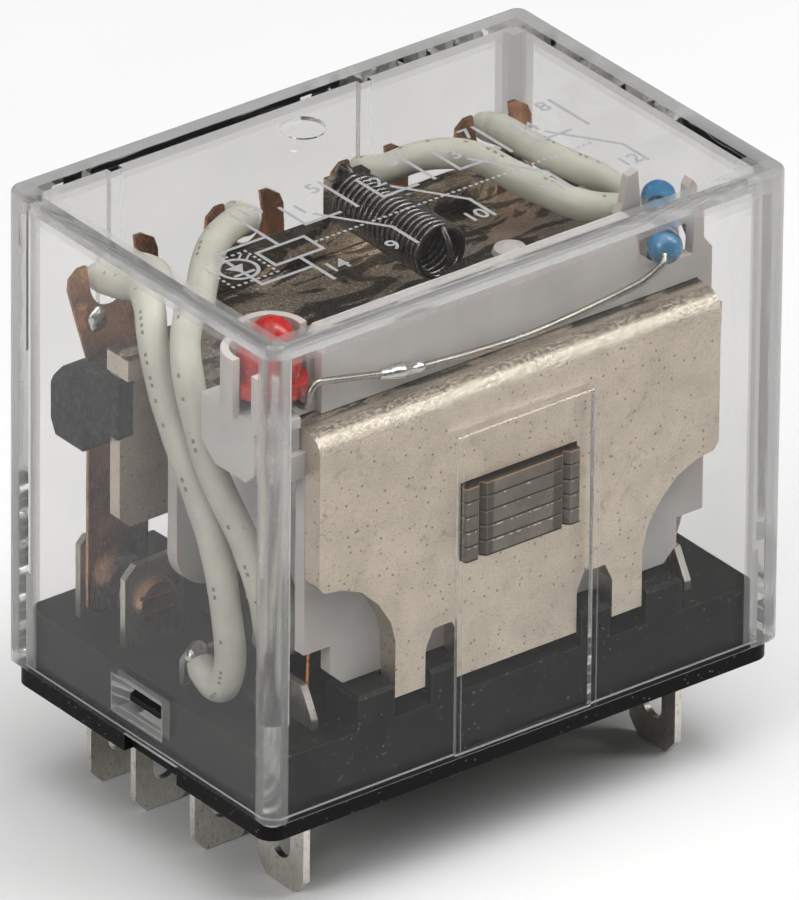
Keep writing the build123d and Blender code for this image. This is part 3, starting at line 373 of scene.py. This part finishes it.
# woven cloth tape
p = Paint("cloth_tape", rough=0.9)
weave = None
for direction, size in (("Y", 0.42), ("DIAGONAL", 0.55)):
    thread = p.node("ShaderNodeTexWave", wave_type="BANDS", bands_direction=direction)
    thread.inputs["Scale"].default_value = 1 / (size * MM)
    thread.inputs["Distortion"].default_value = 0.8
    p.link(p.place, thread.inputs["Vector"])
    weave = thread.outputs["Fac"] if weave is None else p.sum(weave, thread.outputs["Fac"], "MULTIPLY")
p.set("Base Color", p.mix(p.sum(p.span(weave, 0, 1, 0, 0.5), p.span(p.cloud(2.5, 5), 0.3, 0.7, 0, 0.5)),
                          (0.62, 0.61, 0.60), (0.80, 0.79, 0.78)))
p.set("Roughness", p.span(p.cloud(1.0, 3), 0.3, 0.7, 0.62, 0.85))
p.bump((weave, 0.02), (p.cloud(1.2, 4), 0.03))
looks["cloth_tape"] = p

# red lamp resin
p = Paint("lamp_red", ior=1.5)
p.set("Base Color", p.mix(p.span(p.cloud(1.2, 3), 0.3, 0.7), (0.27, 0.002, 0.001), (0.42, 0.006, 0.003)))
p.set("Subsurface Weight", 0.2)
p.set("Subsurface Scale", 0.0008)
p.set("Coat Weight", 0.4)
p.set("Roughness", p.span(p.cloud(0.6, 5), 0.3, 0.7, 0.14, 0.34))
p.bump((p.cloud(0.35, 4), 0.006), (p.edges(0.15), 0.008))
looks["lamp_red"] = p

# lacquered resistor body with generic colour rings
p = Paint("resistor_blue", ior=1.5)
front, rear = (Vector(end) * MM for end in RESISTOR_ENDS)
along = p.node("ShaderNodeVectorMath", operation="DOT_PRODUCT")
p.link(p.place, along.inputs[0])
along.inputs[1].default_value = (rear - front).normalized()
start, length = front.dot((rear - front).normalized()), (rear - front).length
colour = p.mix(p.span(p.cloud(1.0, 4), 0.3, 0.7), (0.02, 0.115, 0.23), (0.04, 0.18, 0.32))
for spot, ring in ((0.0, (0.012, 0.012, 0.012)), (0.3, (0.08, 0.03, 0.015)), (0.62, (0.012, 0.012, 0.012)),
                   (1.0, (0.03, 0.12, 0.3))):
    off = p.magnitude(p.sum(along.outputs["Value"], start + spot * length, "SUBTRACT"))
    colour = p.mix(p.span(off, 0.19 * MM, 0.25 * MM, 0.9, 0), colour, ring)
p.set("Base Color", colour)
p.set("Coat Weight", 0.5)
p.set("Roughness", p.span(p.cloud(0.5, 4), 0.3, 0.7, 0.16, 0.36))
p.bump((p.cloud(0.6, 4), 0.02))
looks["resistor_blue"] = p

# coarse black card
p = Paint("card_black")
p.set("Specular IOR Level", 0.12)
crumb = p.sum(p.cloud(0.35, 6, 0.7), p.specks(0.5, 0.5), "ADD")
p.set("Base Color", p.mix(p.span(crumb, 0.4, 1.2), (0.010, 0.010, 0.010), (0.034, 0.033, 0.032)))
p.set("Roughness", p.span(p.cloud(0.4, 5), 0.3, 0.7, 0.55, 0.85))
p.bump((crumb, 0.05), (p.cloud(1.2, 4), 0.08))
looks["card_black"] = p

# pale grey sleeve, a little green
p = Paint("wire_sleeve", ior=1.45)
tone = p.mix(p.span(p.cloud(3.0, 4), 0.3, 0.7), (0.355, 0.352, 0.30), (0.45, 0.445, 0.385))
tone = p.mix(p.span(p.specks(0.9, 0.09), 0, 1, 0, 0.6), tone, (0.12, 0.11, 0.09))
p.set("Base Color", p.mix(p.span(p.cloud(0.9, 6, 0.7), 0.6, 0.8, 0, 0.25), tone, (0.3, 0.3, 0.26)))
p.set("Subsurface Weight", 0.15)
p.set("Subsurface Scale", 0.0005)
p.set("Roughness", p.span(p.cloud(0.5, 5), 0.3, 0.7, 0.36, 0.6))
p.bump((p.cloud(0.35, 4), 0.008), (p.cloud(1.8, 2), 0.03))
looks["wire_sleeve"] = p

# dark print on the sleeves
p = Paint("sleeve_mark")
p.set("Base Color", p.mix(p.span(p.cloud(0.12, 5, 0.7), 0.4, 0.62), (0.06, 0.058, 0.05), (0.22, 0.22, 0.19)))
p.set("Roughness", p.span(p.cloud(0.4), 0.3, 0.7, 0.4, 0.6))
p.bump((p.cloud(0.12, 4), 0.003))
looks["sleeve_mark"] = p

# grey ink
p = Paint("ink")
p.set("Base Color", p.mix(p.span(p.cloud(0.3, 6, 0.7), 0.35, 0.7), (0.31, 0.31, 0.315), (0.41, 0.41, 0.415)))
p.set("Roughness", p.span(p.cloud(0.4), 0.3, 0.7, 0.45, 0.7))
p.bump((p.cloud(0.12, 4), 0.003))
looks["ink"] = p

# pale studio floor
p = Paint("studio_floor")
p.set("Base Color", p.mix(p.span(p.cloud(60.0, 3), 0.3, 0.7), (0.80, 0.80, 0.80), (0.815, 0.815, 0.812)))
p.set("Roughness", p.span(p.cloud(30.0), 0.3, 0.7, 0.85, 0.95))
looks["floor"] = p

# every CAD node takes the look its material's name or slot asks for
SLOTS = [m["slot"] for m in frame["record"]["materials"]]
for name, obj in nodes.items():
    old = obj.data.materials[0].name.split(".")[0] if obj.data.materials else ""
    key = old if old in looks else next((s for s in SLOTS if s in old), None)
    if name == "no_contacts":
        key = "contact_copper"
    if key is None:
        raise RuntimeError(f"{name} has material {old!r}, which has no look")
    if not obj.material_slots:
        obj.data.materials.append(looks[key].material)
    for part in obj.material_slots:
        part.material = looks[key].material


def place(name, mesh, *keys):
    """Put the mesh in the scene as a piece, with these looks as its materials."""
    mesh.materials.clear()
    for key in keys:
        mesh.materials.append(looks[key].material)
    obj = bpy.data.objects.new(name, mesh)
    scene.collection.objects.link(obj)
    return obj


def built(name, verts, faces, look):
    mesh = bpy.data.meshes.new(name)
    mesh.from_pydata(verts, [], faces)
    return place(name, mesh, look)


# ---------------------------------------------------------------- wire lines
def smooth_line(points, steps=10):
    """Points in metres along the smooth NURBS line that the route's points (mm) control."""
    curve = bpy.data.curves.new("line", "CURVE")
    curve.dimensions = "3D"
    curve.resolution_u = steps
    spline = curve.splines.new("NURBS")
    spline.points.add(len(points) - 1)
    for control, point in zip(spline.points, points):
        control.co = (*[c * MM for c in point], 1)
    spline.order_u = 3
    spline.use_endpoint_u = True
    holder = bpy.data.objects.new("line", curve)
    scene.collection.objects.link(holder)
    mesh = bpy.data.meshes.new_from_object(holder)
    line = [v.co.copy() for v in mesh.vertices]
    bpy.data.objects.remove(holder)
    bpy.data.curves.remove(curve)
    bpy.data.meshes.remove(mesh)
    return line


def tube(name, line, radius, look, sides=20, wobble=0.0, taper=0, marks=None):
    """A round tube along the line; the radius (mm) wanders a little with wobble, and taper rounds its ends.
    marks is a direction: a row of small plain dashes is printed along the side that faces it."""
    verts, faces = [], []
    side = None
    for i, here in enumerate(line):
        ahead = (line[min(i + 1, len(line) - 1)] - line[max(i - 1, 0)]).normalized()
        if side is None:
            side = ahead.orthogonal().normalized()
        side = (side - ahead * side.dot(ahead)).normalized()
        other = ahead.cross(side)
        end = min(i, len(line) - 1 - i)
        size = radius * MM * (0.86 + 0.14 * min(1, end / taper) if taper else 1)
        for k in range(sides):
            turn = math.tau * k / sides
            away = side * math.cos(turn) + other * math.sin(turn)
            swell = 1 + wobble * noise.noise((here / MM) * 0.55 + away * 0.35)
            verts.append(here + away * size * swell)
    for i in range(len(line) - 1):
        for k in range(sides):
            n = (k + 1) % sides
            faces.append((i * sides + k, i * sides + n, (i + 1) * sides + n, (i + 1) * sides + k))
    faces.append(tuple(reversed(range(sides))))
    last = (len(line) - 1) * sides
    faces.append(tuple(range(last, last + sides)))
    mesh = bpy.data.meshes.new(name)
    mesh.from_pydata(verts, [], faces)
    mesh.polygons.foreach_set("use_smooth", [len(f) == 4 for f in faces])
    if not marks:
        return place(name, mesh, look)
    obj = place(name, mesh, look, "sleeve_mark")
    towards = Vector(marks)
    middle = len(line) // 2
    row = max(range(sides), key=lambda k: (verts[middle * sides + k] - line[middle]).dot(towards))
    for i in range(len(line) - 1):
        if noise.noise(Vector((i * 0.29, row, 1.5))) > 0.12 and i % 2:
            mesh.polygons[i * sides + row].material_index = 1
    return obj


ROUTES = (
    ((-15.0, 10.6, 29.0), (-15.0, 8.6, 29.25), (-14.9, 6.0, 30.2), (-16.2, 3.4, 30.6), (-17.4, 1.5, 28.8),
     (-17.4, 0.3, 25.4), (-17.4, -2.2, 21.6), (-17.4, -4.9, 17.6), (-17.4, -6.2, 13.6), (-17.4, -6.8, 10.0),
     (-17.4, -6.2, 7.3), (-17.25, -4.2, 6.9), (-16.95, -2.95, 7.8)),
    ((-5.0, 10.6, 29.0), (-5.1, 8.6, 29.3), (-7.6, 6.9, 30.9), (-11.4, 4.5, 31.5), (-14.7, 1.2, 31.0),
     (-17.1, -1.3, 29.2), (-17.3, -2.6, 26.0), (-17.2, -4.4, 21.9), (-16.6, -7.0, 18.4), (-16.0, -8.2, 14.8),
     (-15.3, -8.0, 11.6), (-13.9, -5.7, 9.4), (-10.6, -3.8, 8.5), (-6.9, -3.1, 8.4)),
    ((5.0, 10.6, 29.0), (5.1, 8.8, 29.4), (7.6, 7.4, 30.6), (9.6, 4.4, 31.3), (10.6, 0.6, 30.5),
     (12.6, -3.0, 29.5), (15.5, -4.6, 29.3), (17.6, -4.5, 27.2), (17.5, -4.4, 21.5), (17.4, -4.3, 16.0),
     (17.0, -4.2, 11.6), (14.6, -4.0, 8.9), (10.6, -3.5, 8.4), (6.9, -3.1, 8.4)),
    ((15.0, 10.6, 29.0), (15.0, 8.7, 29.4), (13.4, 6.6, 30.9), (12.8, 3.2, 31.5), (13.2, 0.2, 31.3),
     (15.2, -1.6, 30.3), (17.3, -1.5, 28.0), (17.6, -0.9, 23.6), (17.6, -0.9, 18.2), (17.5, -1.3, 13.4),
     (17.0, -1.9, 9.1)),
)
for number, route in enumerate(ROUTES, start=1):
    wire = tube(f"lead_sleeve_{number}", smooth_line(route, 14), 1.0, "wire_sleeve", sides=28, wobble=0.05, taper=3,
                marks=(-1, -0.5, 0.2) if number < 3 else (0.3, -0.2, 1))
    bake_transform(wire)
    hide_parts(f"lead_wire_{number}")

strands = bmesh.new()
for x in POLES:
    for k in range(7):
        turn = math.tau * k / 6
        out = 0.0 if k == 6 else 0.42
        here = Vector((x + out * math.cos(turn), 10.45, 29.0 + out * math.sin(turn)))
        lean = Vector((0.25 * math.cos(turn * 2 + x), 1.0, 0.2 * math.sin(turn * 3 + x))).normalized()
        size = 0.55 + 0.12 * math.sin(k * 2.1 + x)
        made = bmesh.ops.create_cone(strands, cap_ends=True, segments=10, radius1=0.19 * MM, radius2=0.17 * MM,
                                     depth=size * MM)
        spin = lean.to_track_quat("Z", "Y").to_matrix().to_4x4()
        bmesh.ops.transform(strands, verts=made["verts"],
                            matrix=Matrix.Translation((here + lean * size / 2) * MM) @ spin)
mesh = bpy.data.meshes.new("wire_strands")
strands.to_mesh(mesh)
strands.free()
strand_ends = place("wire_strands", mesh, "bare_copper")
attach(strand_ends, "armature_unit")

# return spring: front hook, helix, rear hook on one line
helix = []
for step in range(SPRING_TURNS * 12 + 1):
    angle = math.tau * step / 12
    y = SPRING_FIRST_Y + (SPRING_LAST_Y - SPRING_FIRST_Y) * step / (SPRING_TURNS * 12)
    helix.append((SPRING_RADIUS * math.sin(angle), y, SPRING_AXIS_Z + SPRING_RADIUS * math.cos(angle)))
front_hook = [(0, -7.25, 30.3), (0, -7.0, 29.3), (0, -5.45, 29.35), (0, -5.25, 30.2), (0, -5.4, 31.8),
              (0, -4.76, 32.6)]
rear_hook = [(0, 4.56, 32.62), (0, 5.25, 33.05), (0, 6.15, 32.7), (0, 6.2, 31.5)]
spring = tube("return_coil", smooth_line(front_hook + helix + rear_hook, steps=4), 0.225, "spring_steel", sides=12)
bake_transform(spring)
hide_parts("return_spring")


# ---------------------------------------------------------------- solder
def blobs(name, spots, look):
    """Uneven drops of solder, each (centre, three half sizes) in mm."""
    shape = bmesh.new()
    for number, (centre, half) in enumerate(spots):
        made = bmesh.ops.create_icosphere(shape, subdivisions=4, radius=1.0)
        for v in made["verts"]:
            away = v.co.normalized()
            lump = 1 + 0.2 * noise.noise(away * 1.1 + Vector((number * 7.3, 0, 2))) + 0.03 * noise.noise(away * 4)
            v.co = Vector((centre[i] + away[i] * half[i] * lump for i in range(3))) * MM
    mesh = bpy.data.meshes.new(name)
    shape.to_mesh(mesh)
    shape.free()
    mesh.polygons.foreach_set("use_smooth", [True] * len(mesh.polygons))
    return place(name, mesh, look)


drops = blobs("blade_solder", [((-16.4, -1.95, 7.4), (0.95, 0.8, 1.05)), ((-6.1, -1.95, 7.7), (0.95, 0.75, 0.9)),
                               ((6.1, -1.95, 7.7), (0.95, 0.75, 0.9)), ((16.4, -1.7, 7.8), (0.95, 0.8, 1.0))],
              "solder")
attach(drops, "relay_frame")
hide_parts("com_solder")
drops = blobs("spring_solder", [((x + (1.6 if x > 0 else -1.6), 8.3, 27.3), (0.7, 0.38, 0.85))
                                for x in POLES], "solder")
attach(drops, "armature_unit")
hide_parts("flag_solder")

# ---------------------------------------------------------------- printed contact diagram
PRINT_Z = cad_box[1].z + 0.00001
INK = 0.26
print_verts, print_faces = [], []


def stamp(corners):
    first = len(print_verts)
    print_verts.extend(Vector((x * MM, y * MM, PRINT_Z + len(print_faces) * 1e-7)) for x, y in corners)
    print_faces.append(tuple(range(first, first + len(corners))))


def rule(*points, width=INK):
    """A printed line through the points, its corners squared off."""
    for (ax, ay), (bx, by) in zip(points, points[1:]):
        run = math.hypot(bx - ax, by - ay)
        ux, uy = (bx - ax) / run * width / 2, (by - ay) / run * width / 2
        stamp(((ax - ux + uy, ay - uy - ux), (bx + ux + uy, by + uy - ux),
               (bx + ux - uy, by + uy + ux), (ax - ux - uy, ay - uy + ux)))


def dotted(a, b, step=0.45):
    count = int(math.hypot(b[0] - a[0], b[1] - a[1]) / step)
    for i in range(count):
        s0, s1 = i / count, (i + 0.12) / count
        rule(*[(a[0] + (b[0] - a[0]) * s, a[1] + (b[1] - a[1]) * s) for s in (s0, s1)], width=0.2)


POLE_STARTS = [-8.7 + 6.15 * pole for pole in range(4)]
for x in POLE_STARTS:
    rule((x, 0.95), (x, -1.75), (x + 2.7, -1.75))
    rule((x + 4.08, 2.2), (x + 4.08, -1.75))
    rule((x + 1.3, -1.0), (x + 4.15, -5.25), (x + 4.15, -7.8))
rule((-11.72, 2.15), (-11.72, -2.93))
rule((-13.5, -2.93), (-9.77, -2.93), (-9.77, -4.93), (-13.5, -4.93), (-13.5, -2.93))
rule((-11.65, -4.93), (-11.65, -8.45))
rule((-11.75, -1.57), (-15.72, -1.57), (-15.72, -6.4), (-11.68, -6.4))
for a, b in (((-17.4, -2.27), (-13.9, -2.27)), ((-13.9, -2.27), (-13.9, -5.65)), ((-13.9, -5.65), (-17.4, -5.65)),
             ((-17.4, -5.65), (-17.4, -2.27)), ((-9.6, -3.93), (12.7, -3.93))):
    dotted(a, b)
for k in range(36):
    stamp([(-15.72 + r * math.cos(math.tau * n / 36), -3.95 + r * math.sin(math.tau * n / 36))
           for r, n in ((1.4, k), (1.4, k + 1), (1.15, k + 1), (1.15, k))])
stamp(((-15.05, -3.5), (-16.4, -3.5), (-15.72, -4.45)))
rule((-16.4, -4.62), (-15.05, -4.62))
rule((-14.9, -2.9), (-14.4, -2.5), width=0.14)
rule((-14.6, -3.3), (-14.1, -2.9), width=0.14)
diagram = built("contact_diagram", print_verts, print_faces, "ink")
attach(diagram, "relay_frame")

NUMBERS = [("13", -11.35, 1.1), ("14", -11.3, -7.8)]
for pole, x in enumerate(POLE_STARTS):
    NUMBERS += [(str(pole + 1), x + 0.5, -0.5), (str(pole + 5), x + 2.8, 1.2), (str(pole + 9), x + 2.3, -7.75)]
for word, x, y in NUMBERS:
    letters = bpy.data.curves.new(f"number_{word}", "FONT")
    letters.body, letters.size, letters.offset = word, 1.7 * MM, 0.03 * MM
    holder = bpy.data.objects.new(f"number_{word}", letters)
    scene.collection.objects.link(holder)
    mesh = bpy.data.meshes.new_from_object(holder)
    bpy.data.objects.remove(holder)
    mesh.transform(Matrix.Translation((x * MM, y * MM, PRINT_Z)))
    figure = place(f"number_{word}", mesh, "ink")
    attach(figure, "relay_frame")


# ---------------------------------------------------------------- stage, lights, camera
LOW = cad_box[0].z - 0.00005
floor = built("floor", [(-4, -4, LOW), (4, -4, LOW), (4, 4, LOW), (-4, 4, LOW)], [(0, 1, 2, 3)], "floor")


def softbox(name, spot, aim, size, watts, tall=None):
    light = bpy.data.lights.new(name, "AREA")
    light.shape, light.size, light.size_y, light.energy = "RECTANGLE", size, tall or size, watts
    obj = bpy.data.objects.new(name, light)
    obj.location = spot
    obj.rotation_euler = (Vector(aim) - Vector(spot)).to_track_quat("-Z", "Y").to_euler()
    scene.collection.objects.link(obj)


softbox("overhead", (-0.1, -0.15, 1.2), (0, 0, 0), 1.3, 12)
softbox("left", (-0.95, -0.15, 0.6), (0, 0, 0.015), 0.5, 4.0)
softbox("right", (0.66, -0.5, 0.92), (0, 0, 0.015), 0.4, 9.0, tall=1.2)

world = bpy.data.worlds.new("studio")
scene.world = world
world.use_nodes = True
world.node_tree.nodes["Background"].inputs[0].default_value = (1.0, 1.0, 1.0, 1)
world.node_tree.nodes["Background"].inputs[1].default_value = 0.12

camera = bpy.data.objects.new("camera", bpy.data.cameras.new("camera"))
scene.collection.objects.link(camera)
camera.data.lens = 823.86
camera.data.sensor_width = 36
camera.data.clip_start, camera.data.clip_end = 0.1, 20
right = Vector((0.790053, -0.612975, 0.008811))
up = Vector((0.289065, 0.385169, 0.876405))
back = Vector((-0.540608, -0.68986, 0.481494))
turned = Matrix((right, up, back)).transposed().to_4x4()
camera.matrix_world = Matrix.Translation((-0.706857, -0.902417, 0.645552)) @ turned
scene.camera = camera
